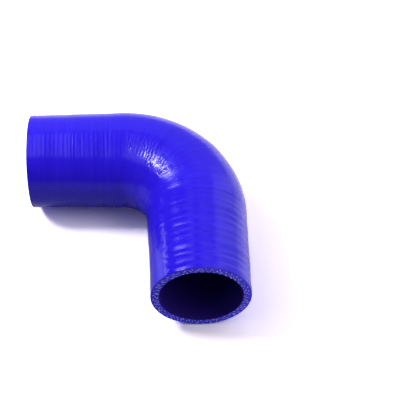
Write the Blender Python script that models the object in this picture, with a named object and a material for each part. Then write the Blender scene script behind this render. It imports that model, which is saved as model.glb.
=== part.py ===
"""Silicone elbow hose, 90 degrees, lying on a flat surface.

Metres, +Z up. The left leg runs along -X and the front leg along -Y. The cover, the cord fabric and the thin
liner of such a hose are cured into one piece, so the hose is one solid.

The solid is one closed strip of rings: along the outside from the left cut face to the front one, across that
face, back along the bore, and across the left cut face to the first ring again.
"""

import math
import random

import bmesh
import bpy
from mathutils import Vector

MM = 0.001

# Sizes of the hose
BORE_RADIUS = 25.5 * MM
WALL = 5.0 * MM
LEFT_LEG = 108.3 * MM  # from the point where the two axes cross to the cut face
FRONT_LEG = 110.6 * MM
BEND_RADIUS = 48.7 * MM  # of the centreline
BEND_ANGLE = math.radians(90)

# The hand-wrapped plies make the wall thicker in the bend
PLY_GATHER = 2.9 * MM  # bunched plies on the inside of the bend
PLY_SWELL = 0.7 * MM  # on the upper side of the bend; the underside stays level

# Ridges that the turns of the curing tape press into the cover
RIDGE_PITCH = 4.8 * MM
RIDGE_HEIGHT = 0.2 * MM
RIDGE_UNEVENNESS = 0.25  # share of the pitch by which an edge of the tape wanders
CUT_EDGE = 0.4 * MM  # the trimmed outer edge of each end is broken by this much

# Fineness of the mesh
SEGMENTS = 48  # round the hose
BORE_STEPS = 16  # round the bend of the bore

COVER_BLUE = (0.022, 0.010, 0.780, 1.0)
COVER_ROUGHNESS = 0.28


def clear_scene():
    for obj in list(bpy.data.objects):
        bpy.data.objects.remove(obj, do_unlink=True)


def centreline_lengths():
    """Lengths of the left straight, the bend and the front straight, measured along the centreline."""
    used_by_bend = BEND_RADIUS * math.tan(BEND_ANGLE / 2)
    return LEFT_LEG - used_by_bend, BEND_RADIUS * BEND_ANGLE, FRONT_LEG - used_by_bend


def section_at(distance):
    """Centre of the section at a distance from the left cut face, and the direction towards the inside of the bend.

    The axes cross at the origin. The centreline is a straight, an arc of BEND_RADIUS and a straight.
    """
    left_straight, bend, _ = centreline_lengths()
    turned = min(max(distance - left_straight, 0.0), bend) / BEND_RADIUS
    forward = Vector((math.cos(turned), -math.sin(turned), 0.0))
    inward = Vector((-math.sin(turned), -math.cos(turned), 0.0))
    knee = Vector((left_straight - LEFT_LEG, 0.0, 0.0))
    bend_centre = knee - Vector((0.0, BEND_RADIUS, 0.0))
    beyond_arc = distance - left_straight - turned * BEND_RADIUS
    return bend_centre - BEND_RADIUS * inward + beyond_arc * forward, inward


def bore_radius(angle):
    return BORE_RADIUS


def cover_radius(share, ridge):
    """The outside radius as a function of the angle, at a share of the length, with a tape ridge of this height."""
    middle = math.sin(math.pi * share) ** 2

    def radius(angle):
        gathered = PLY_GATHER * max(math.cos(angle), 0.0) ** 2
        swollen = PLY_SWELL * (1.0 + math.sin(angle)) / 2
        return BORE_RADIUS + WALL + ridge + middle * (gathered + swollen)

    return radius


def tape_edges(start, end):
    """Distances at which one turn of the tape ends and the next begins: an even pitch, made uneven by hand."""
    turns = round((end - start) / RIDGE_PITCH)
    pitch = (end - start) / turns
    hand = random.Random(3)
    inner_edges = [start + pitch * (turn + hand.uniform(-1, 1) * RIDGE_UNEVENNESS) for turn in range(1, turns)]
    return [start, *inner_edges, end]


def cover_rings(length):
    """(distance, radius function) of each ring of the outside, from the left cut face to the front one.

    Each turn of the tape is a valley at its edge and a crest between its edges, with a height of its own.
    """
    edges = tape_edges(CUT_EDGE, length - CUT_EDGE)
    hand = random.Random(8)
    rings = [(0.0, cover_radius(0.0, -CUT_EDGE))]
    for edge, next_edge in zip(edges, edges[1:]):
        crest = (edge + next_edge) / 2
        rings.append((edge, cover_radius(edge / length, 0.0)))
        rings.append((crest, cover_radius(crest / length, RIDGE_HEIGHT * hand.uniform(0.5, 1.0))))
    rings.append((edges[-1], cover_radius(edges[-1] / length, 0.0)))
    rings.append((length, cover_radius(1.0, -CUT_EDGE)))
    return rings


def bore_rings(length):
    """(distance, radius function) of each ring of the bore, from the front cut face back to the left one."""
    left_straight, bend, _ = centreline_lengths()
    in_bend = [left_straight + bend * step / BORE_STEPS for step in range(BORE_STEPS + 1)]
    return [(distance, bore_radius) for distance in reversed([0.0, *in_bend, length])]


def add_ring(bm, distance, radius):
    """One ring of vertices, counted from the inside of the bend up over the top."""
    centre, inward = section_at(distance)
    up = Vector((0.0, 0.0, 1.0))
    ring = []
    for segment in range(SEGMENTS):
        angle = 2 * math.pi * segment / SEGMENTS
        outward = math.cos(angle) * inward + math.sin(angle) * up
        ring.append(bm.verts.new(centre + radius(angle) * outward))
    return ring


def bridge(bm, ring, next_ring):
    """Quads between two rings, facing out of the wall."""
    for segment in range(SEGMENTS):
        after = (segment + 1) % SEGMENTS
        bm.faces.new((ring[segment], next_ring[segment], next_ring[after], ring[after]))


def hose_mesh():
    length = sum(centreline_lengths())
    bm = bmesh.new()
    rings = [add_ring(bm, distance, radius) for distance, radius in cover_rings(length) + bore_rings(length)]
    for ring, next_ring in zip(rings, rings[1:] + rings[:1]):
        bridge(bm, ring, next_ring)
    mesh = bpy.data.meshes.new("elbow_hose")
    bm.to_mesh(mesh)
    bm.free()
    mesh.shade_smooth()
    mesh.set_sharp_from_angle(angle=math.radians(35))
    return mesh


def silicone_material():
    material = bpy.data.materials.new("blue_silicone")
    material.use_nodes = True
    shader = material.node_tree.nodes["Principled BSDF"]
    shader.inputs["Base Color"].default_value = COVER_BLUE
    shader.inputs["Roughness"].default_value = COVER_ROUGHNESS
    shader.inputs["Metallic"].default_value = 0.0
    return material


def rest_location(mesh):
    """Where the mesh goes so that it lies on z = 0 with the middle of its plan over the origin."""
    lowest = [min(vertex.co[axis] for vertex in mesh.vertices) for axis in range(3)]
    highest = [max(vertex.co[axis] for vertex in mesh.vertices) for axis in range(3)]
    return Vector((-(lowest[0] + highest[0]) / 2, -(lowest[1] + highest[1]) / 2, -lowest[2]))


def main():
    clear_scene()
    mesh = hose_mesh()
    mesh.materials.append(silicone_material())
    hose = bpy.data.objects.new("elbow_hose", mesh)
    hose.location = rest_location(mesh)
    bpy.context.scene.collection.objects.link(hose)


main()
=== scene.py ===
# %% [markdown]
# # A silicone elbow hose
# The object is a short hose for an engine's coolant or intake air: a 90 degree elbow with two straight
# legs, 51 mm inside and 61 mm outside. It is made by hand. A thin liner, three plies of cord fabric and a
# blue cover are rolled onto a bent steel mandrel, bound tightly with nylon tape, and cured in an oven.
# Then the tape comes off, the hose is pulled from the mandrel, and a blade trims both ends.
#
# Each cell below makes one thing that this leaves to be seen: the bent tube with its gathered bend, the
# rings that the tape pressed into the cover, the trimmed ends with their cords, the gloss of the
# silicone.

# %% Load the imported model
import math

import bpy
import numpy as np
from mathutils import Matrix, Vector


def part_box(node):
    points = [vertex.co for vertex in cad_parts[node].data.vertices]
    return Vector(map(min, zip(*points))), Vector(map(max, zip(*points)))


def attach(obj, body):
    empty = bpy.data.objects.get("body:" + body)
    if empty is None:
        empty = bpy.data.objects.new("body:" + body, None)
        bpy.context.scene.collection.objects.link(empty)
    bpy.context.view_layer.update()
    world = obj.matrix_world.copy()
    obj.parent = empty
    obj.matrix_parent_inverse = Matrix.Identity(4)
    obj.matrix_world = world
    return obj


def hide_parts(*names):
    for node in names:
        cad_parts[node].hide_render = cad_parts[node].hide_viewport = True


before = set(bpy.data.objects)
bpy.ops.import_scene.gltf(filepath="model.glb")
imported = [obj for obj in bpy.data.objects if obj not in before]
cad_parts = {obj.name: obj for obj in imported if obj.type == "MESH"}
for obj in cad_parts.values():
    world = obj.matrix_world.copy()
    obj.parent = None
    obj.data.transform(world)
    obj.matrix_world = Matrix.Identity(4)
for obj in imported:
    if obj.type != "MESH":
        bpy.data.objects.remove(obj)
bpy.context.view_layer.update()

MM = 0.001

# %% [markdown]
# ## The sizes of the hose
# These are the driving sizes of the real hose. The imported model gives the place: its two cut faces are
# the lowest x and the lowest y of its box, so the point where the two axes cross lies one leg inwards
# from each. The hose lies on the crests of its tape rings, which puts its axes one radius and one ring
# above the floor.

# %% Sizes and place
BORE_RADIUS = 25.5 * MM
WALL = 5.0 * MM
LEFT_LEG = 108.3 * MM
FRONT_LEG = 110.6 * MM
BEND_RADIUS = 48.7 * MM
BEND_ANGLE = math.radians(90)
PLY_GATHER = 2.9 * MM
PLY_SWELL = 0.7 * MM
RING_HEIGHT = 0.2 * MM

END_RADIUS = BORE_RADIUS + WALL
LEFT_STRAIGHT = LEFT_LEG - BEND_RADIUS * math.tan(BEND_ANGLE / 2)
FRONT_STRAIGHT = FRONT_LEG - BEND_RADIUS * math.tan(BEND_ANGLE / 2)
BEND_LENGTH = BEND_RADIUS * BEND_ANGLE
LENGTH = LEFT_STRAIGHT + BEND_LENGTH + FRONT_STRAIGHT

hose_low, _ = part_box("elbow_hose")
AXIS_HEIGHT = END_RADIUS + RING_HEIGHT
CROSSING = np.array([hose_low.x + LEFT_LEG, hose_low.y + FRONT_LEG, hose_low.z + AXIS_HEIGHT])
print("length along the axis in mm:", round(LENGTH / MM, 1), "axes cross at", np.round(CROSSING / MM, 2))

# %% [markdown]
# ## The camera
# It comes early, because every later choice is judged through it. The photograph looks down on the hose
# at about 51 degrees, level, with a long lens from 0.72 m away. The camera is placed by its direction and
# distance from a point on the floor near the crossing of the axes.

# %% Camera
CAMERA_HEADING = math.radians(-1.704)
CAMERA_HEIGHT_ANGLE = math.radians(51.052)
CAMERA_DISTANCE = 720.7 * MM
AIM_FROM_CROSSING = np.array([2.215, -11.379, -30.5]) * MM
LENS = 95.42

back = np.array([
    math.sin(CAMERA_HEADING) * math.cos(CAMERA_HEIGHT_ANGLE),
    -math.cos(CAMERA_HEADING) * math.cos(CAMERA_HEIGHT_ANGLE),
    math.sin(CAMERA_HEIGHT_ANGLE),
])
camera_data = bpy.data.cameras.new("camera")
camera_data.lens = LENS
camera_data.sensor_width = 36.0
camera_data.clip_start = 0.01
camera = bpy.data.objects.new("camera", camera_data)
camera.location = CROSSING + AIM_FROM_CROSSING + CAMERA_DISTANCE * back
camera.rotation_mode = "QUATERNION"
camera.rotation_quaternion = Vector(-back).to_track_quat("-Z", "Y")
bpy.context.scene.collection.objects.link(camera)
bpy.context.scene.camera = camera
print("camera at", [round(value, 3) for value in camera.location])

# %% [markdown]
# ## The path that the section follows
# A bent tube is a section carried along a line. Blender can do it with a bevelled curve, but the section
# here changes on its way and is thicker on one side, so the path is worked out as arrays instead: one row
# for each distance from the left cut face, with the centre of the section and the direction towards the
# inside of the bend. "Up" is the same all along, because both axes lie level.


# %% Path
def path(distance):
    """Centres and inward directions at the distances from the left cut face.

    The turned angle is zero on the left straight, grows with the distance over the bend radius, and stays at
    90 degrees on the front straight. The centre is the arc's centre less the radius times inward, moved on
    along forward by what lies before or beyond the arc.
    """
    distance = np.asarray(distance, float)
    turned = np.clip(distance - LEFT_STRAIGHT, 0.0, BEND_LENGTH) / BEND_RADIUS
    level = np.zeros_like(turned)
    forward = np.stack([np.cos(turned), -np.sin(turned), level], axis=-1)
    inward = np.stack([-np.sin(turned), -np.cos(turned), level], axis=-1)
    knee = CROSSING + np.array([LEFT_STRAIGHT - LEFT_LEG, 0.0, 0.0])
    arc_centre = knee - np.array([0.0, BEND_RADIUS, 0.0])
    beyond = distance - LEFT_STRAIGHT - turned * BEND_RADIUS
    return arc_centre - BEND_RADIUS * inward + beyond[..., None] * forward, inward


def on_path(distance, radius, angle):
    """Points of the sections: the centre, plus radius times the cosine inwards and the sine upwards."""
    centre, inward = path(distance)
    up = np.array([0.0, 0.0, 1.0])
    outward = np.cos(angle)[..., None] * inward + np.sin(angle)[..., None] * up
    return centre + radius[..., None] * outward


# %% [markdown]
# ## The thickness of the wall
# Where the mandrel bends, the flat plies have too much cloth on the inside of the bend. It bunches up
# there, so the wall grows from 5 mm at the trimmed ends to nearly 8 mm on the inside of the bend. The
# upper side swells a little too. Both follow one smooth hump along the length, a squared sine.


# %% Plain outside radius
def plain_radius(distance, angle):
    """End radius plus the hump times (gather times the squared cosine on the inner half, plus the swell)."""
    hump = np.sin(np.pi * np.clip(distance / LENGTH, 0.0, 1.0)) ** 2
    gathered = PLY_GATHER * np.maximum(np.cos(angle), 0.0) ** 2
    swollen = PLY_SWELL * (1.0 + np.sin(angle)) / 2
    return END_RADIUS + hump * (gathered + swollen)


# %% [markdown]
# ## The rings that the tape leaves
# Each turn of the curing tape lies half over the turn before it, and its edge presses a low step into the
# cover. Seen in the gloss, the steps are fine uneven rings. A bump in the material could draw them, but
# the outline and the highlights show them too, so they are in the mesh. No two turns are pulled alike:
# the rings are about 2.7 mm apart on the left leg and 6 mm on the front leg, they wander a little on
# their way round, and some are faint. A wave of fixed pitch would look machined, so the count of turns is
# bent by slow waves before the saw tooth is read from it.


# %% Slow waves
def slow_waves(distance, angle, wave_lengths, turns_round, seed):
    """A sum of sines of the distance and the angle, scaled to about -1 to 1.

    Each has its own wave length along the hose, a whole number of waves round it, and a seeded phase.
    """
    phases = np.random.default_rng(seed).uniform(0.0, 2 * np.pi, len(wave_lengths))
    total = np.zeros(np.broadcast(distance, angle).shape)
    for wave_length, turns, phase in zip(wave_lengths, turns_round, phases):
        total = total + np.sin(2 * np.pi * distance / wave_length + turns * angle + phase)
    return total / math.sqrt(len(wave_lengths))


def uneven_strength(distance, angle, level, swing, limits, waves):
    """A strength that changes slowly: the level plus the swing times slow waves, kept within the limits."""
    return np.clip(level + swing * slow_waves(distance, angle, *waves), *limits)


# %% Strength of the steps
STRENGTH_AT = np.array([0, 48, 58, 95, 128, 140, 152, 198]) * MM
STEP_STRENGTH = np.array([0.62, 0.62, 0.35, 0.22, 0.22, 0.34, 0.58, 0.62])
OUTER_SIDE_AHEAD = 14 * MM
INNER_STRENGTH = 0.12
INNER_SIDE = (math.radians(30), math.radians(55))


def eased(share):
    """A way from 0 to 1 that starts and ends level: 3 times the square less 2 times the cube."""
    share = np.clip(share, 0.0, 1.0)
    return share * share * (3 - 2 * share)


def step_strength(distance, angle):
    """How strong the steps are: read from the table by the distance, and weak on the inner side.

    On the outer side the rings start further back in the bend, so there the table is read a little ahead.
    """
    ahead = OUTER_SIDE_AHEAD * np.maximum(-np.cos(angle), 0.0)
    from_inside = np.arccos(np.clip(np.cos(angle), -1.0, 1.0))
    inner = eased((from_inside - INNER_SIDE[0]) / (INNER_SIDE[1] - INNER_SIDE[0]))
    weakened = np.where(distance > LEFT_STRAIGHT, INNER_STRENGTH + (1 - INNER_STRENGTH) * inner, 1.0)
    return np.interp(distance + ahead, STRENGTH_AT, STEP_STRENGTH) * weakened


# %% Steps of the tape
MEAN_PITCH = 3.7 * MM
PITCH_DRIFT = 6.3
STEP_SHARE = 0.56
STEP_SLOPE = 0.036
TURN_UNEVENNESS = 0.17
TURN_WAVES = ([13 * MM, 23 * MM, 41 * MM], [0, 0, 0], 5)
RING_WANDER = 0.06
WANDER_WAVES = ([19 * MM, 31 * MM, 57 * MM], [1, 2, -3], 6)
FADE_WAVES = ([8 * MM, 17 * MM, 29 * MM], [1, -2, 3], 7)


def ring_pitch(distance):
    """How far apart the rings are: 1 over the growth of the count of turns with the distance."""
    return 1 / (1 / MEAN_PITCH + PITCH_DRIFT * np.pi / LENGTH * np.cos(np.pi * distance / LENGTH))


def tape_steps(distance, angle):
    """Steps of the tape's edges, as one helix.

    The count of turns is the distance over the mean pitch, plus the drift times a half sine, which makes the
    turns close on the left leg and wide on the front leg, plus the share of a turn that the angle has gone.
    Slow waves bend it. Over each turn the cover rises first and then falls, over STEP_SHARE of the turn, and
    by more where the turn is wide.
    """
    drift = PITCH_DRIFT * np.sin(np.pi * distance / LENGTH)
    bent = TURN_UNEVENNESS * slow_waves(distance, angle, *TURN_WAVES)
    wander = RING_WANDER * slow_waves(distance, angle, *WANDER_WAVES)
    turn = distance / MEAN_PITCH + drift + bent + wander + angle / (2 * np.pi)
    share = turn - np.floor(turn)
    rising = eased(share / (1 - STEP_SHARE))
    falling = eased((1 - share) / STEP_SHARE)
    tooth = np.where(share < 1 - STEP_SHARE, rising, falling)
    fading = uneven_strength(distance, angle, level=0.85, swing=0.35, limits=(0.15, 1.2), waves=FADE_WAVES)
    return STEP_SLOPE * ring_pitch(distance) * step_strength(distance, angle) * tooth * fading


end_pitches = [round(float(ring_pitch(end)) / MM, 1) for end in (0.0, LENGTH)]
print("rings apart at the left and the front end in mm:", end_pitches)

# %% [markdown]
# ## Creases, and the gathered side of the bend
# The tightened tape also leaves fine creases all over, and broad swells where it was pulled harder or
# softer. On the inner side of the bend the cover is pushed together into small slanting folds. They are
# only about a tenth of a millimetre high, but they break the brightest highlight into short dashes. They
# could be sculpted by hand. Two crossed waves within a band with soft edges are quicker to place and to
# change.


# %% Creases and pulls
CREASE_PITCH = 2.1 * MM
CREASE_DEPTH = 0.024 * MM
CREASE_BENDING = 1.6
CREASE_BEND_WAVES = ([7 * MM, 12 * MM], [1, -1], 21)
CREASE_FADE_WAVES = ([9 * MM, 21 * MM, 34 * MM], [2, -1, 1], 22)
PULL_HEIGHT = 0.07 * MM
PULL_WAVES = ([24 * MM, 36 * MM, 15 * MM], [0, 1, -1], 31)


def creases(distance, angle):
    """Fine creases of the tightened tape: a sine of the distance, whose phase and depth wander."""
    bending = CREASE_BENDING * slow_waves(distance, angle, *CREASE_BEND_WAVES)
    phase = 2 * np.pi * distance / CREASE_PITCH + bending
    fading = uneven_strength(
        distance, angle, level=0.6, swing=0.5, limits=(0.0, 1.4), waves=CREASE_FADE_WAVES
    )
    return CREASE_DEPTH * np.sin(phase) * fading


def pulls(distance, angle):
    """Broad swells where the tape was pulled harder or softer."""
    return PULL_HEIGHT * slow_waves(distance, angle, *PULL_WAVES)


# %% Gathers
GATHER_START = (84 * MM, 87 * MM)
GATHER_END = (116 * MM, 118.5 * MM)
GATHER_MIDDLE = math.radians(57)
GATHER_HALF_WIDTH = math.radians(21)
GATHER_SLANT = 0.5 * MM
SLANT_REACH = 30
GATHER_PITCH = 2.9 * MM
GATHER_TURNS = (30, -18)
GATHER_DEPTH = 0.062 * MM
GATHER_BENDING = 0.9
STEEP_FOLD_WAVES = ([9 * MM, 14 * MM, 31 * MM], [3, -5, 7], 41)
PATCH_WAVES = ([6 * MM, 11 * MM, 19 * MM], [5, -8, 11], 42)
FLAT_FOLD_WAVES = ([8 * MM, 17 * MM, 26 * MM], [-4, 6, -9], 43)


def gathering(distance, angle):
    """How much the cover is pushed together: 1 from the start to the end, in a band on the inner side.

    The start is slanted: it lies further along by GATHER_SLANT for each degree that the angle is smaller.
    Across the band it is a bell with a flat top, the exponential of minus the fourth power.
    """
    slant = GATHER_SLANT * np.degrees(GATHER_MIDDLE - angle).clip(-SLANT_REACH, SLANT_REACH)
    starts = eased((distance - slant - GATHER_START[0]) / (GATHER_START[1] - GATHER_START[0]))
    ends = 1 - eased((distance - GATHER_END[0]) / (GATHER_END[1] - GATHER_END[0]))
    from_middle = (angle - GATHER_MIDDLE + np.pi) % (2 * np.pi) - np.pi
    return starts * ends * np.exp(-((from_middle / GATHER_HALF_WIDTH) ** 4))


def gathers(distance, angle):
    """Small folds: two slanting sines that cross, so that they leave short dashes, strong in some patches.

    Each has a whole number of waves round the hose, which gives its slant and leaves no seam.
    """
    along = 2 * np.pi * distance / GATHER_PITCH
    steep_bent = GATHER_BENDING * slow_waves(distance, angle, *STEEP_FOLD_WAVES)
    flat_bent = GATHER_BENDING * slow_waves(distance, angle, *FLAT_FOLD_WAVES)
    steep = np.sin(along + GATHER_TURNS[0] * angle + steep_bent)
    flat = np.sin(along + GATHER_TURNS[1] * angle + flat_bent)
    patches = uneven_strength(distance, angle, level=0.85, swing=0.4, limits=(0.2, 1.3), waves=PATCH_WAVES)
    return GATHER_DEPTH * (steep + flat) * patches * gathering(distance, angle)


# %% Whole relief
def tape_relief(distance, angle):
    """Height of the cover above its plain radius: steps, creases, gathers and pulls, added up."""
    rings_and_creases = tape_steps(distance, angle) + creases(distance, angle)
    return rings_and_creases + gathers(distance, angle) + pulls(distance, angle)


# %% [markdown]
# ## One closed strip of rings
# The hose is one solid, so its mesh is one closed strip too: along the cover, over the trimmed edge,
# across the cut face, back through the bore and across the other cut face. Every ring is a row of the
# same grid, given by its distance along the path and its radius, and the grid closes on itself both ways,
# so it has no open edge. The rings lie closest in the bend, and the columns on its gathered side, where
# the folds are fine.


# %% Grid to mesh
def closed_grid_faces(rows, columns):
    """Quads of a grid that closes on itself in both directions, in the order that faces them outwards."""
    row, column = np.meshgrid(np.arange(rows), np.arange(columns), indexing="ij")
    next_row = (row + 1) % rows
    next_column = (column + 1) % columns
    corners = [
        row * columns + column,
        next_row * columns + column,
        next_row * columns + next_column,
        row * columns + next_column,
    ]
    return np.stack(corners, axis=-1).reshape(-1, 4)


def mesh_object(name, points, faces):
    """A mesh object at the origin, shaded smooth, with its place in its mesh."""
    mesh = bpy.data.meshes.new(name)
    mesh.from_pydata(points.reshape(-1, 3), [], faces)
    mesh.shade_smooth()
    made = bpy.data.objects.new(name, mesh)
    bpy.context.scene.collection.objects.link(made)
    return made


# %% Rows of one end
ROUND_STEPS = 160
LEFT_ROWS = 150
BEND_ROWS = 260
FRONT_ROWS = 120
BORE_ROWS = 40
CUT_EDGE = 0.4 * MM
BORE_EDGE = 0.2 * MM
EDGE_STEPS = 5
FACE_RADII = np.array([29.95, 29.5, 29.0, 28.4, 27.8, 27.2, 26.6, 26.1, 25.85]) * MM


def end_rows(at, inwards):
    """Distances and radii from the cover's last ring over the cut edge, across the face and into the bore.

    Both edges are quarter rounds. inwards is 1 where the hose lies at greater distances, and -1 where it
    lies at smaller ones.
    """
    quarter = np.linspace(0.0, 1.0, EDGE_STEPS + 1) * np.pi / 2
    outer_along = CUT_EDGE * (1 - np.sin(quarter))
    outer_radii = END_RADIUS - CUT_EDGE * (1 - np.cos(quarter))
    bore_along = BORE_EDGE * (1 - np.cos(quarter))
    bore_radii = BORE_RADIUS + BORE_EDGE * (1 - np.sin(quarter))
    along = np.concatenate([outer_along, np.zeros(len(FACE_RADII)), bore_along])
    return at + inwards * along, np.concatenate([outer_radii, FACE_RADII, bore_radii])


# %% Rows from end to end
cover_distance = np.concatenate([
    np.linspace(CUT_EDGE, LEFT_STRAIGHT, LEFT_ROWS, endpoint=False)[1:],
    np.linspace(LEFT_STRAIGHT, LEFT_STRAIGHT + BEND_LENGTH, BEND_ROWS, endpoint=False),
    np.linspace(LEFT_STRAIGHT + BEND_LENGTH, LENGTH - CUT_EDGE, FRONT_ROWS)[:-1],
])
bore_distance = np.linspace(BORE_EDGE, LENGTH - BORE_EDGE, BORE_ROWS)[1:-1]
front_distance, front_radius = end_rows(LENGTH, -1)
left_distance, left_radius = end_rows(0.0, 1)

row_distance = np.concatenate([cover_distance, front_distance, bore_distance[::-1], left_distance[::-1]])
row_radius = np.concatenate([
    np.full(len(cover_distance), END_RADIUS),
    front_radius,
    np.full(len(bore_distance), BORE_RADIUS),
    left_radius[::-1],
])
print("rings:", len(row_distance), "triangles:", 2 * len(row_distance) * ROUND_STEPS)

# %% Hose mesh
CLOSEST_SIDE = math.radians(45)
CLOSENESS = 0.5
PLAIN_END = 2 * MM

even_angle = 2 * np.pi * np.arange(ROUND_STEPS) / ROUND_STEPS
ring_angle = even_angle - CLOSENESS * np.sin(even_angle - CLOSEST_SIDE)
distance, angle = np.meshgrid(row_distance, ring_angle, indexing="ij")
radius = np.repeat(row_radius[:, None], ROUND_STEPS, axis=1)

near_end = np.minimum(distance, LENGTH - distance)
on_cover = radius >= END_RADIUS - CUT_EDGE
relief = tape_relief(distance, angle) * eased(near_end / PLAIN_END)
thickening = plain_radius(distance, angle) - END_RADIUS
radius = radius + np.where(on_cover, thickening + relief, 0.0)

hose = mesh_object("silicone_hose", on_path(distance, radius, angle), closed_grid_faces(*distance.shape))
print("ring relief in mm:", round(float(relief.max() / MM), 3))

# %% [markdown]
# ## Where each point is on the hose
# A pattern that follows the hose round its bend can't be read from plain Object coordinates. The mesh
# keeps an attribute instead, in millimetres: the distance along the hose, and the radius times the cosine
# and the sine of the angle. It has no seam, its scale is true all over, and the length of its last two
# numbers is the radius.

# %% Hose place attribute
hose_place = np.stack([distance, radius * np.cos(angle), radius * np.sin(angle)], axis=-1) / MM
attribute = hose.data.attributes.new("hose_place", "FLOAT_VECTOR", "POINT")
attribute.data.foreach_set("vector", hose_place.astype(np.float32).ravel())

# %% [markdown]
# ## The cord ends on the cut faces
# The blade cuts through three plies of woven polyester cord, laid on the bias. Each cord shows as a pale
# slanted oval in the deep blue rubber, in three rows between the thin liner and the cover, which has
# none. The cords of one ply pass over and under the crossing ones, so their ends lie a little further out
# and in by turns. There are hundreds, so each is a low dome of a few dozen faces, and all are placed at
# once by array arithmetic.

# %% One cord end
CORD_RINGS = 3
CORD_SIDES = 10
dome_share = np.linspace(0.0, 1.0, CORD_RINGS + 1)[1:]
dome_turn = 2 * np.pi * np.arange(CORD_SIDES) / CORD_SIDES


def dome_points():
    """A unit dome: a top point, then rings with the sine of the way down as radius and its cosine as height.

    A straight foot of one unit goes down from the last ring, into the cut face.
    """
    way_down = dome_share * np.pi / 2
    x = np.sin(way_down)[:, None] * np.cos(dome_turn)[None, :]
    y = np.sin(way_down)[:, None] * np.sin(dome_turn)[None, :]
    z = np.repeat(np.cos(way_down)[:, None], CORD_SIDES, axis=1)
    rings = np.stack([x, y, z], axis=-1).reshape(-1, 3)
    foot = rings[-CORD_SIDES:] - np.array([0.0, 0.0, 1.0])
    return np.concatenate([[[0.0, 0.0, 1.0]], rings, foot, [[0.0, 0.0, -1.0]]])


def dome_faces():
    """Triangles round the top point and under the foot, and quads between the rings."""
    faces = []
    rings = CORD_RINGS + 1
    for side in range(CORD_SIDES):
        after = (side + 1) % CORD_SIDES
        faces.append((0, 1 + side, 1 + after))
        for ring in range(rings - 1):
            upper = 1 + ring * CORD_SIDES
            lower = upper + CORD_SIDES
            faces.append((upper + side, lower + side, lower + after, upper + after))
        last = 1 + (rings - 1) * CORD_SIDES
        faces.append((last + side, 1 + rings * CORD_SIDES, last + after))
    return faces


# %% Cord ends of one face
PLY_RADII = np.array([26.35, 27.6, 28.85]) * MM
CORDS_PER_PLY = 44
PLY_SHIFT = 0.34
WEAVE_STEP = 0.08 * MM
CORD_HALF_LENGTH = 0.92 * MM
CORD_HALF_WIDTH = 0.32 * MM
CORD_RISE = 0.12 * MM
CORD_SLANT = math.radians(-50)
LOOSE_PITCH = 0.10
LOOSE_RADIUS = 0.08 * MM
LOOSE_LENGTH = 0.18
LOOSE_WIDTH = 0.15
LOOSE_SLANT = 0.25


def cord_ends(at, outwards, seed):
    """Points of every cord end on one cut face.

    Cord number k of ply j stands at an angle of (k plus j shifts) pitches, on the ply's radius plus or minus
    the weave step by turns. Its oval lies slanted from the tangent. A normal draw times a share of its own
    loosens each of these. outwards is -1 on the left face and 1 on the front face, along the path.
    """
    chance = np.random.default_rng(seed)
    ply, number = np.meshgrid(np.arange(len(PLY_RADII)), np.arange(CORDS_PER_PLY), indexing="ij")
    loose = chance.normal(0.0, 1.0, (5, *ply.shape))
    cord_angle = 2 * np.pi * (number + PLY_SHIFT * ply + LOOSE_PITCH * loose[0]) / CORDS_PER_PLY
    cord_radius = PLY_RADII[ply] + WEAVE_STEP * (2 * (number % 2) - 1) + LOOSE_RADIUS * loose[1]
    half_length = CORD_HALF_LENGTH * (1 + LOOSE_LENGTH * np.clip(loose[2], -2, 2))
    half_width = CORD_HALF_WIDTH * (1 + LOOSE_WIDTH * np.clip(loose[3], -2, 2))
    slant = CORD_SLANT * (1 + LOOSE_SLANT * loose[4])

    centre, inward = path(np.full(ply.shape, at))
    forward = np.cross(inward, np.array([0.0, 0.0, 1.0]))
    up = np.array([0.0, 0.0, 1.0])
    radial = np.cos(cord_angle)[..., None] * inward + np.sin(cord_angle)[..., None] * up
    tangent = -np.sin(cord_angle)[..., None] * inward + np.cos(cord_angle)[..., None] * up
    long_way = np.cos(slant)[..., None] * tangent + np.sin(slant)[..., None] * radial
    face_out = forward * outwards
    short_way = np.cross(face_out, long_way)

    place = centre + cord_radius[..., None] * radial
    dome = dome_points()
    points = (
        place[..., None, :]
        + (half_length[..., None, None] * dome[:, 0:1]) * long_way[..., None, :]
        + (half_width[..., None, None] * dome[:, 1:2]) * short_way[..., None, :]
        + (CORD_RISE * dome[:, 2:3]) * face_out[..., None, :]
    )
    return points.reshape(-1, len(dome), 3)


# %% Cord ends of both faces
front_cords = cord_ends(LENGTH, 1.0, 11)
left_cords = cord_ends(0.0, -1.0, 12)
all_cords = np.concatenate([front_cords, left_cords])
points_each = all_cords.shape[1]
template = dome_faces()
cord_faces = [
    tuple(corner + first for corner in face)
    for first in range(0, len(all_cords) * points_each, points_each)
    for face in template
]
cords = mesh_object("cord_ends", all_cords, cord_faces)
print("cord ends:", len(all_cords), "faces:", len(cord_faces))

# %% [markdown]
# ## Gloss and colour
# Cured silicone is a smooth, slightly soft gloss over a deep blue. Up close it isn't even: the tape's
# weave leaves a fine print, the streaks follow the rings, and the blue is a shade uneven. Two effects are
# node groups, which each material places with its own values: streaks that run round the hose, on the
# cover, and a soft mottling, on every surface. The small helpers come first.

# %% A new node group
def new_group(name, inputs, outputs):
    """A shader node group with float or vector sockets, given as (name, kind, default)."""
    group = bpy.data.node_groups.new(name, "ShaderNodeTree")
    for socket_name, kind, default in inputs:
        socket = group.interface.new_socket(socket_name, in_out="INPUT", socket_type=kind)
        if default is not None:
            socket.default_value = default
    for socket_name, kind in outputs:
        group.interface.new_socket(socket_name, in_out="OUTPUT", socket_type=kind)
    entry = group.nodes.new("NodeGroupInput")
    leave = group.nodes.new("NodeGroupOutput")
    return group, entry, leave


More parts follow.
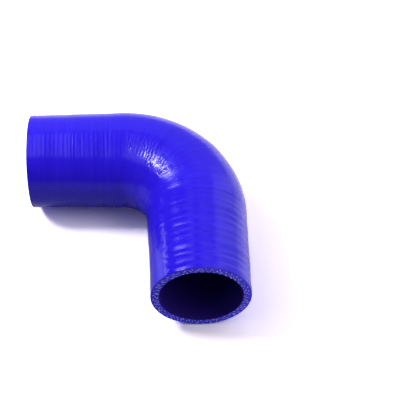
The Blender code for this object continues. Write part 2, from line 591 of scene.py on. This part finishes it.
# %% Number and vector nodes
def math_node(tree, operation, first, second):
    """A Math node, whose inputs are sockets or plain numbers."""
    node = tree.nodes.new("ShaderNodeMath")
    node.operation = operation
    for index, value in enumerate((first, second)):
        if isinstance(value, (int, float)):
            node.inputs[index].default_value = value
        else:
            tree.links.new(value, node.inputs[index])
    return node.outputs[0]


def scaled_vector(tree, vector, factors):
    """The vector times a fixed factor for each axis."""
    node = tree.nodes.new("ShaderNodeVectorMath")
    node.operation = "MULTIPLY"
    tree.links.new(vector, node.inputs[0])
    node.inputs[1].default_value = factors
    return node.outputs[0]


# %% Noise, range and colour nodes
def noise_node(tree, vector, scale, detail, roughness=0.5):
    """A noise texture's value."""
    node = tree.nodes.new("ShaderNodeTexNoise")
    node.inputs["Scale"].default_value = scale
    node.inputs["Detail"].default_value = detail
    node.inputs["Roughness"].default_value = roughness
    tree.links.new(vector, node.inputs["Vector"])
    return node.outputs["Fac"]


def range_node(tree, value, from_low, from_high, to_low, to_high):
    """A Map Range node from one range to another, held at its ends."""
    node = tree.nodes.new("ShaderNodeMapRange")
    tree.links.new(value, node.inputs["Value"])
    node.inputs["From Min"].default_value = from_low
    node.inputs["From Max"].default_value = from_high
    node.inputs["To Min"].default_value = to_low
    node.inputs["To Max"].default_value = to_high
    return node.outputs["Result"]


def mixed_colour(tree, share, low_colour, high_colour):
    """A colour between two, by a share from a socket."""
    node = tree.nodes.new("ShaderNodeMix")
    node.data_type = "RGBA"
    tree.links.new(share, node.inputs["Factor"])
    low_socket, high_socket = [socket for socket in node.inputs if socket.type == "RGBA"]
    for colour, socket in ((low_colour, low_socket), (high_colour, high_socket)):
        if hasattr(colour, "is_output"):
            tree.links.new(colour, socket)
        else:
            socket.default_value = (*colour, 1.0)
    return [socket for socket in node.outputs if socket.type == "RGBA"][0]


# %% Group of the streaks
BROAD_STREAKS = (0.45, 0.02, 0.02)
FINE_STREAKS = (1.6, 0.10, 0.10)


def streaks_group():
    """Noise that is drawn out round the hose: fine along it, long round it. Place is hose_place, in mm."""
    group, entry, leave = new_group(
        "ring_streaks",
        [("Place", "NodeSocketVector", None), ("Fineness", "NodeSocketFloat", 1.0)],
        [("Broad", "NodeSocketFloat"), ("Fine", "NodeSocketFloat")],
    )
    size = group.nodes.new("ShaderNodeVectorMath")
    size.operation = "SCALE"
    group.links.new(entry.outputs["Place"], size.inputs[0])
    group.links.new(entry.outputs["Fineness"], size.inputs["Scale"])
    broad = noise_node(group, scaled_vector(group, size.outputs[0], BROAD_STREAKS), 1.0, 2.0)
    fine = noise_node(group, scaled_vector(group, size.outputs[0], FINE_STREAKS), 1.0, 3.0, 0.6)
    group.links.new(broad, leave.inputs["Broad"])
    group.links.new(fine, leave.inputs["Fine"])
    return group


# %% Group of the mottling
GRAIN_FINENESS = 14.0


def mottle_group():
    """Soft blotches read from Object coordinates: a large one and a grain, each from 0 to 1."""
    group, entry, leave = new_group(
        "rubber_mottle",
        [("Vector", "NodeSocketVector", None), ("Scale", "NodeSocketFloat", 60.0)],
        [("Blotches", "NodeSocketFloat"), ("Grain", "NodeSocketFloat")],
    )
    for output, times in (("Blotches", 1.0), ("Grain", GRAIN_FINENESS)):
        node = group.nodes.new("ShaderNodeTexNoise")
        node.inputs["Detail"].default_value = 2.0
        group.links.new(entry.outputs["Vector"], node.inputs["Vector"])
        group.links.new(math_node(group, "MULTIPLY", entry.outputs["Scale"], times), node.inputs["Scale"])
        group.links.new(node.outputs["Fac"], leave.inputs[output])
    return group


STREAKS = streaks_group()
MOTTLE = mottle_group()
print("node groups:", STREAKS.name, "and", MOTTLE.name)


# %% Material helpers
# Most of a noise lies within its span, and the middle half of it within its core
NOISE_SPAN = (0.3, 0.7)
NOISE_CORE = (0.35, 0.65)


def new_material(name):
    """A material with its tree and its Principled shader."""
    material = bpy.data.materials.new(name)
    material.use_nodes = True
    tree = material.node_tree
    return material, tree, tree.nodes["Principled BSDF"]


def place_vector(tree):
    """The point's place on the hose, from the mesh's own attribute."""
    node = tree.nodes.new("ShaderNodeAttribute")
    node.attribute_name = "hose_place"
    return node.outputs["Vector"]


def object_vector(tree):
    """The point's Object coordinates, in metres."""
    return tree.nodes.new("ShaderNodeTexCoord").outputs["Object"]


def placed_group(tree, group, vector_name, vector, **values):
    """The outputs of a node group that reads this vector, with its own values."""
    node = tree.nodes.new("ShaderNodeGroup")
    node.node_tree = group
    tree.links.new(vector, node.inputs[vector_name])
    for name, value in values.items():
        node.inputs[name].default_value = value
    return node.outputs


def bump(tree, height, distance, strength=1.0):
    """A Bump node's normal. distance is the real height in metres of a value of 1."""
    node = tree.nodes.new("ShaderNodeBump")
    node.inputs["Strength"].default_value = strength
    node.inputs["Distance"].default_value = distance
    tree.links.new(height, node.inputs["Height"])
    return node.outputs["Normal"]


# %% [markdown]
# ### The blue cover
# The cover has a clear gloss with a little softness. Its bump is the print of the woven tape, two crossed
# waves of about 0.9 mm and a hundredth of a millimetre high, under streaks that are a little higher. The
# rings are already in the mesh, so the bump holds only what is too fine for it.

# %% Cover material
COVER_DEEP = (0.021, 0.0085, 0.665)
COVER_BRIGHT = (0.027, 0.012, 0.75)
COVER_ROUGHNESS = (0.08, 0.15)
STREAK_SHADE = 0.6
BLOTCH_SHADE = 0.4
PRINT_PITCH = 0.95
PRINTS_ROUND = 208.0
PRINT_HEIGHT = 0.10
STREAK_HEIGHT = 0.8
COVER_BUMP = 0.05 * MM


def weave_print(tree, place):
    """Two sines added up: one of the distance in mm, and one with a whole number of waves round the hose."""
    parts = tree.nodes.new("ShaderNodeSeparateXYZ")
    tree.links.new(place, parts.inputs[0])
    round_angle = math_node(tree, "ARCTAN2", parts.outputs["Z"], parts.outputs["Y"])
    along_turned = math_node(tree, "MULTIPLY", parts.outputs["X"], 2 * math.pi / PRINT_PITCH)
    across_turned = math_node(tree, "MULTIPLY", round_angle, PRINTS_ROUND)
    along = math_node(tree, "SINE", along_turned, 0.0)
    across = math_node(tree, "SINE", across_turned, 0.0)
    return math_node(tree, "ADD", along, across)


def cover_material():
    """Blue between two shades, a gloss that follows the streaks, and a bump of the print and the streaks."""
    material, tree, shader = new_material("blue_silicone_cover")
    place = place_vector(tree)
    streaks = placed_group(tree, STREAKS, "Place", place, Fineness=1.0)
    mottle = placed_group(tree, MOTTLE, "Vector", object_vector(tree), Scale=45.0)
    streak_shade = math_node(tree, "MULTIPLY", streaks["Broad"], STREAK_SHADE)
    blotch_shade = math_node(tree, "MULTIPLY", mottle["Blotches"], BLOTCH_SHADE)
    shade = range_node(tree, math_node(tree, "ADD", streak_shade, blotch_shade), *NOISE_CORE, 0.0, 1.0)
    blue = mixed_colour(tree, shade, COVER_DEEP, COVER_BRIGHT)
    tree.links.new(blue, shader.inputs["Base Color"])
    roughness = range_node(tree, streaks["Fine"], *NOISE_SPAN, *COVER_ROUGHNESS)
    tree.links.new(roughness, shader.inputs["Roughness"])
    print_height = math_node(tree, "MULTIPLY", weave_print(tree, place), PRINT_HEIGHT)
    streak_height = math_node(tree, "MULTIPLY", streaks["Fine"], STREAK_HEIGHT)
    height = math_node(tree, "ADD", print_height, streak_height)
    tree.links.new(bump(tree, height, COVER_BUMP), shader.inputs["Normal"])
    shader.inputs["IOR"].default_value = 1.45
    return material


# %% [markdown]
# ### The bore, the cut faces and the cords
# The liner was cured against polished steel, so the bore is smooth and plain. A blade leaves the cut
# faces dull. On them the outermost millimetre is clean blue cover, and the rubber between the cords is
# mottled from a deeper blue to a paler one. Light goes a little way into a cut through silicone, which is
# why the ring glows blue even on its shaded side: subsurface scattering does that, with blue reaching
# furthest. The face's blues are also set lighter than the cover's own blue, as painted light on the cut
# face. The polyester cords are paler, and soaked with blue in places.

# %% Bore material
# Both blues are darker than the cover's: partly the liner's own colour, partly painted shade for the unlit
# inside of the bore.
BORE_DEEP_AND_PAINTED_SHADE = (0.018, 0.008, 0.19)
BORE_PALER_AND_PAINTED_SHADE = (0.025, 0.010, 0.26)
BORE_ROUGHNESS = (0.36, 0.48)


def bore_material():
    """A dark blue, partly the liner's own and partly painted shade, with soft blotches and a dull gloss."""
    material, tree, shader = new_material("blue_silicone_bore")
    mottle = placed_group(tree, MOTTLE, "Vector", object_vector(tree), Scale=30.0)
    blue = mixed_colour(tree, mottle["Blotches"], BORE_DEEP_AND_PAINTED_SHADE, BORE_PALER_AND_PAINTED_SHADE)
    tree.links.new(blue, shader.inputs["Base Color"])
    roughness = range_node(tree, mottle["Grain"], *NOISE_SPAN, *BORE_ROUGHNESS)
    tree.links.new(roughness, shader.inputs["Roughness"])
    shader.inputs["IOR"].default_value = 1.42
    return material


# %% Cut face material
# The face's blues are lighter than the cover's own blue: painted light for light that doesn't reach the cut
# face.
FACE_COVER_WITH_PAINTED_LIGHT = (0.050, 0.038, 0.97)
FACE_PLY = (0.026, 0.022, 0.60)
FACE_PLY_PALE = (0.080, 0.070, 0.98)
FACE_ROUGHNESS = (0.45, 0.65)
# Radius where the cover starts, in mm as the place is, and how far it wavers and fades
COVER_STARTS = 29.1
COVER_WAVERS = 0.2
BAND_SOFTNESS = 0.15
FACE_BUMP = 0.06 * MM


def place_radius(tree):
    """The radius in mm: the length of the last two numbers of the place."""
    parts = tree.nodes.new("ShaderNodeSeparateXYZ")
    tree.links.new(place_vector(tree), parts.inputs[0])
    flat = tree.nodes.new("ShaderNodeCombineXYZ")
    tree.links.new(parts.outputs["Y"], flat.inputs["X"])
    tree.links.new(parts.outputs["Z"], flat.inputs["Y"])
    length = tree.nodes.new("ShaderNodeVectorMath")
    length.operation = "LENGTH"
    tree.links.new(flat.outputs[0], length.inputs[0])
    return length.outputs["Value"]


def cut_face_material():
    """Cover blue outside a wavering radius, mottled ply blue inside it, both lighter with painted light.
    Light goes a little way in.
    """
    material, tree, shader = new_material("blue_silicone_cut")
    mottle = placed_group(tree, MOTTLE, "Vector", object_vector(tree), Scale=400.0)
    waver = range_node(tree, mottle["Blotches"], *NOISE_SPAN, -COVER_WAVERS, COVER_WAVERS)
    radius_here = math_node(tree, "ADD", place_radius(tree), waver)
    band = (COVER_STARTS - BAND_SOFTNESS, COVER_STARTS + BAND_SOFTNESS)
    in_cover = range_node(tree, radius_here, *band, 0.0, 1.0)
    ply = mixed_colour(tree, mottle["Blotches"], FACE_PLY, FACE_PLY_PALE)
    tree.links.new(mixed_colour(tree, in_cover, ply, FACE_COVER_WITH_PAINTED_LIGHT), shader.inputs["Base Color"])
    roughness = range_node(tree, mottle["Grain"], *NOISE_SPAN, *FACE_ROUGHNESS)
    tree.links.new(roughness, shader.inputs["Roughness"])
    tree.links.new(bump(tree, mottle["Grain"], FACE_BUMP), shader.inputs["Normal"])
    shader.inputs["IOR"].default_value = 1.42
    shader.inputs["Specular IOR Level"].default_value = 0.15
    shader.inputs["Subsurface Weight"].default_value = 1.0
    shader.inputs["Subsurface Radius"].default_value = (0.2, 0.2, 1.0)
    shader.inputs["Subsurface Scale"].default_value = 1.0 * MM
    return material


# %% Cord material
CORD_DEEP = (0.13, 0.12, 0.95)
CORD_PALE = (0.56, 0.54, 1.0)
CORD_ROUGHNESS = (0.5, 0.8)


def cord_material():
    """Pale polyester, blue where the rubber has soaked in, and almost without gloss."""
    material, tree, shader = new_material("polyester_cord")
    mottle = placed_group(tree, MOTTLE, "Vector", object_vector(tree), Scale=700.0)
    soaked = range_node(tree, mottle["Blotches"], *NOISE_CORE, 0.0, 1.0)
    tree.links.new(mixed_colour(tree, soaked, CORD_DEEP, CORD_PALE), shader.inputs["Base Color"])
    roughness = range_node(tree, mottle["Grain"], *NOISE_SPAN, *CORD_ROUGHNESS)
    tree.links.new(roughness, shader.inputs["Roughness"])
    shader.inputs["Specular IOR Level"].default_value = 0.2
    return material


# %% Give the materials to the faces
COVER, CUT, BORE = 0, 1, 2
for material in (cover_material(), cut_face_material(), bore_material()):
    hose.data.materials.append(material)

face_bands = len(front_distance) - 2 * EDGE_STEPS
row_kind = np.concatenate([
    np.full(len(cover_distance) + EDGE_STEPS, COVER),
    np.full(face_bands, CUT),
    np.full(len(bore_distance) + 2 * EDGE_STEPS, BORE),
    np.full(face_bands, CUT),
    np.full(EDGE_STEPS, COVER),
])
face_kind = np.repeat(row_kind, ROUND_STEPS).astype(np.int32)
hose.data.polygons.foreach_set("material_index", face_kind)
cords.data.materials.append(cord_material())
print("faces of cover, cut faces and bore:", np.bincount(face_kind).tolist())

# %% [markdown]
# ## The studio
# The photograph's light can be read from the gloss. A small strong soft box hangs on the left, half way
# up: it is the bright patch in the bend. Its spill, a weaker box further back and a strip low behind on
# the left make the softer marks on both legs. A wall of dim light stands behind, down to the floor, and
# gives the bend its bright outer edge. Two dim ceilings light the tops of the legs, and a large panel and
# a box on the right give the front leg its soft side. The camera's side is dark, which is why the lower
# left leg is deep blue.
#
# An area lamp is both a light and a thing that the gloss mirrors. Three fills have only the first job:
# they lift the shaded sides a little, and Blender lets a lamp be left out of the gloss. The lamps are
# very faintly violet, which suits the photograph's highlights.


# %% Sizes and places of the lamps
LAMP_DISTANCE = 0.90
LAMP_COLOUR = (1.0, 0.93, 1.0)
# Name, bearing from straight behind and height angle in degrees, width and height in metres, radiance
SOFT_BOXES = (
    ("left_soft_box", -82.0, 48.0, 0.18, 0.28, 30.0),
    ("left_box_spill", -78.0, 52.0, 0.50, 0.28, 2.4),
    ("left_back_box", -63.5, 42.0, 0.15, 0.28, 3.0),
    ("horizon_strip", -57.9, 3.8, 0.50, 0.05, 5.0),
    ("right_side_panel", 79.0, 24.0, 1.36, 0.82, 0.62),
    ("right_soft_box", 105.0, 48.0, 0.90, 0.60, 1.3),
)
FILLS = (
    ("back_fill", 0.0, 50.0, 0.60, 0.50, 1.7),
    ("left_front_fill", -118.0, 20.0, 0.26, 0.45, 1.0),
    ("right_front_fill", 140.0, 14.0, 0.50, 0.24, 1.2),
)
# Name, centre from the crossing of the axes, direction that it faces, width and height in metres, radiance
LEVEL_PANELS = (
    ("back_wall", (0.265, 0.530, 0.370), (0, -1, 0), 1.05, 0.76, 0.34),
    ("left_ceiling", (-0.406, 0.000, 0.700), (0, 0, -1), 0.47, 0.79, 0.88),
    ("right_ceiling", (0.340, 0.050, 0.700), (0, 0, -1), 0.62, 0.69, 0.58),
)


# %% Lamp helpers
def lamp_panel(name, from_crossing, turned_away, width, height, radiance):
    """An area lamp placed from the crossing of the hose's axes, whose power gives the radiance asked for.

    The power is the radiance times pi times the area. turned_away is the direction of its dark back.
    """
    lamp = bpy.data.lights.new(name, "AREA")
    lamp.shape = "RECTANGLE"
    lamp.size = width
    lamp.size_y = height
    lamp.energy = radiance * math.pi * width * height
    lamp.color = LAMP_COLOUR
    made = bpy.data.objects.new(name, lamp)
    made.location = Vector(CROSSING) + Vector(from_crossing)
    made.rotation_mode = "QUATERNION"
    made.rotation_quaternion = Vector(turned_away).to_track_quat("Z", "Y")
    made.visible_camera = False
    bpy.context.scene.collection.objects.link(made)
    return made


def soft_box(name, bearing, height_angle, width, height, radiance):
    """A lamp panel at LAMP_DISTANCE that faces the hose, placed by its bearing and its height angle."""
    level = math.cos(math.radians(height_angle))
    towards = Vector((
        math.sin(math.radians(bearing)) * level,
        math.cos(math.radians(bearing)) * level,
        math.sin(math.radians(height_angle)),
    ))
    return lamp_panel(name, LAMP_DISTANCE * towards, towards, width, height, radiance)


# %% Hang the lamps
for box in SOFT_BOXES:
    soft_box(*box)
for fill in FILLS:
    soft_box(*fill).visible_glossy = False
for name, centre, faces, width, height, radiance in LEVEL_PANELS:
    lamp_panel(name, centre, -Vector(faces), width, height, radiance)
print("lamps:", len(SOFT_BOXES) + len(FILLS) + len(LEVEL_PANELS))


# %% [markdown]
# ## The world and the floor
# The camera sees a white world, and the hose almost none of it, since Light Path's Is Camera Ray tells
# the two apart. The floor is white card, with two levels in the same way. What the camera sees is brought
# up so that the lit card is white and the shadow stays, more on the left than on the right, which is
# painted light that softens the left leg's shadow. What the hose mirrors and is lit by is a painted level:
# brighter behind and on the right and darker in front on the left, painted light and painted shade for
# how the studio's light falls on the card, as the gloss shows it.
# Beyond what the photograph shows, the card fades to plain white for the camera, so that a low view has
# no grey horizon.

# %% World
AMBIENT = 0.03
world = bpy.data.worlds.new("studio")
bpy.context.scene.world = world
world.use_nodes = True
world_tree = world.node_tree
background = world_tree.nodes["Background"]
rays = world_tree.nodes.new("ShaderNodeLightPath")
strength = range_node(world_tree, rays.outputs["Is Camera Ray"], 0.0, 1.0, AMBIENT, 1.0)
background.inputs["Color"].default_value = (1.0, 1.0, 1.0, 1.0)
world_tree.links.new(strength, background.inputs["Strength"])
print("world seen by the camera: 1.0, by the rest:", AMBIENT)

# %% Floor
FLOOR_HALF = 4.0
floor = mesh_object(
    "floor",
    np.array([[-1, -1, 0], [1, -1, 0], [1, 1, 0], [-1, 1, 0]], float) * FLOOR_HALF,
    [(0, 1, 2, 3)],
)
print("floor side in m:", 2 * FLOOR_HALF)

# %% Card material
# The seen level is higher on the left than on the right: painted light that softens the left leg's shadow.
SEEN_LEFT = 1.85
SEEN_RIGHT = 1.62
SEEN_CHANGES = (-0.03, 0.03)
# Levels that the hose mirrors and is lit by: darker in front on the left, lighter behind and on the right,
# painted shade and painted light for how the light falls on the card.
CARD_PAINTED_SHADE_LEVEL = 0.31
CARD_PAINTED_LIGHT_BEHIND = 0.72
CARD_PAINTED_LIGHT_RIGHT = 0.94
BRIGHT_BEHIND = (-0.005, 0.03)
BRIGHT_ON_THE_RIGHT = (-0.01, 0.03)
FADES_TO_WHITE = (0.32, 0.60)

card = bpy.data.materials.new("white_card")
card.use_nodes = True
card_tree = card.node_tree
card_tree.nodes.remove(card_tree.nodes["Principled BSDF"])
card_rays = card_tree.nodes.new("ShaderNodeLightPath")
card_place = card_tree.nodes.new("ShaderNodeSeparateXYZ")
card_tree.links.new(object_vector(card_tree), card_place.inputs[0])
behind = range_node(card_tree, card_place.outputs["Y"], *BRIGHT_BEHIND, CARD_PAINTED_SHADE_LEVEL, CARD_PAINTED_LIGHT_BEHIND)
on_the_right = range_node(card_tree, card_place.outputs["X"], *BRIGHT_ON_THE_RIGHT, CARD_PAINTED_SHADE_LEVEL, CARD_PAINTED_LIGHT_RIGHT)
lit = math_node(card_tree, "MAXIMUM", behind, on_the_right)
seen = range_node(card_tree, card_place.outputs["X"], *SEEN_CHANGES, SEEN_LEFT, SEEN_RIGHT)
card_level = card_tree.nodes.new("ShaderNodeMix")
# Sockets 0, 2 and 3 of a Mix node for numbers are its factor and its two values
card_tree.links.new(card_rays.outputs["Is Camera Ray"], card_level.inputs[0])
card_tree.links.new(lit, card_level.inputs[2])
card_tree.links.new(seen, card_level.inputs[3])
diffuse = card_tree.nodes.new("ShaderNodeBsdfDiffuse")
card_tree.links.new(card_level.outputs[0], diffuse.inputs["Color"])

from_middle = card_tree.nodes.new("ShaderNodeVectorMath")
from_middle.operation = "LENGTH"
card_tree.links.new(object_vector(card_tree), from_middle.inputs[0])
far = range_node(card_tree, from_middle.outputs["Value"], *FADES_TO_WHITE, 0.0, 1.0)
white = card_tree.nodes.new("ShaderNodeEmission")
white.inputs["Color"].default_value = (1.0, 1.0, 1.0, 1.0)
white.inputs["Strength"].default_value = 1.0
fade = card_tree.nodes.new("ShaderNodeMixShader")
seen_far = math_node(card_tree, "MULTIPLY", far, card_rays.outputs["Is Camera Ray"])
card_tree.links.new(seen_far, fade.inputs[0])
card_tree.links.new(diffuse.outputs[0], fade.inputs[1])
card_tree.links.new(white.outputs[0], fade.inputs[2])
card_tree.links.new(fade.outputs[0], card_tree.nodes["Material Output"].inputs["Surface"])
floor.data.materials.append(card)
print("card levels on the hose:", CARD_PAINTED_SHADE_LEVEL, CARD_PAINTED_LIGHT_BEHIND, CARD_PAINTED_LIGHT_RIGHT, "seen:", SEEN_LEFT, SEEN_RIGHT)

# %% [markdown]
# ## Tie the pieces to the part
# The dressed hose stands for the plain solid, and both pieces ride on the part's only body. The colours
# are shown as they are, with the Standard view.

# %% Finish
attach(hose, "root")
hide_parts("elbow_hose")
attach(cords, "root")

bpy.context.scene.view_settings.view_transform = "Standard"
